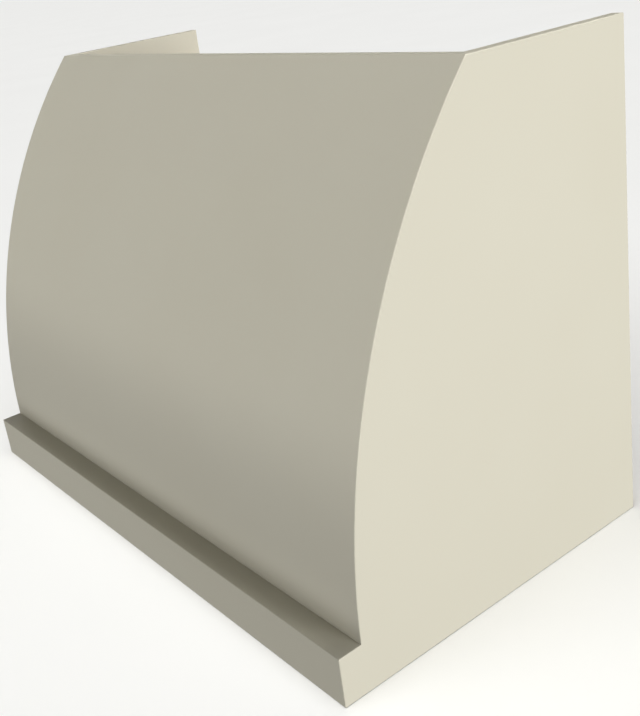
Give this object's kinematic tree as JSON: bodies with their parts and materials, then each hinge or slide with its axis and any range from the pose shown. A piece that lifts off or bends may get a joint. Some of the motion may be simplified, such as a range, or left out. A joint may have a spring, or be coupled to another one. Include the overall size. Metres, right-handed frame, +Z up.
{
  "type": "range hood cover",
  "caption": "Curved-front wooden range hood cover with a plain lip and ledge, open at the back, top and bottom, that hangs on a bevelled wall cleat.",
  "frame": {"origin": "on the wall plane, in the middle of the cover's bottom edge", "axes": "+X to the right of someone who faces the cover, +Y out of the cover's back into the wall, +Z up"},
  "size_m": [1.0668, 0.6096, 0.762],
  "materials": {
    "painted_plywood": "satin cream paint sprayed on maple plywood",
    "painted_bending_plywood": "satin cream paint sprayed on bending plywood",
    "painted_poplar": "satin cream paint sprayed on solid poplar",
    "bending_plywood": "raw, sanded, reddish brown face veneer",
    "cabinet_plywood": "raw, sanded maple plywood",
    "poplar": "raw, planed",
    "pine": "raw, sawn",
    "beech": "raw, fluted dowel stock",
    "zinc_plated_steel": "zinc plated",
    "bright_steel": "bright wire"
  },
  "bodies": {
    "wall_mounting": {"wall_cleat": "poplar"},
    "cover": {"side_panel_left": "painted_plywood", "side_panel_right": "painted_plywood", "front_skin_outer": "painted_bending_plywood", "front_skin_inner": "bending_plywood", "rib_left": "cabinet_plywood", "rib_right": "cabinet_plywood", "top_stretcher": "cabinet_plywood", "mid_stretcher": "cabinet_plywood", "apron_board": "painted_poplar", "ledge_board": "painted_poplar", "hood_cleat": "poplar", "lower_back_rail": "poplar", "liner_cleat_left": "poplar", "liner_cleat_right": "poplar", "liner_cleat_front": "poplar", "liner_cleat_back": "poplar", "glue_blocks": "pine", "apron_dowels": "beech", "pocket_screws": "zinc_plated_steel", "liner_cleat_screws": "zinc_plated_steel", "rib_screws": "zinc_plated_steel", "skin_brads": "bright_steel"}
  },
  "joints": [
    {"name": "lift_off", "type": "slide", "parent": "wall_mounting", "child": "cover", "axis": [0, 0, 1], "range_m": [0, 0.0254]}
  ]
}
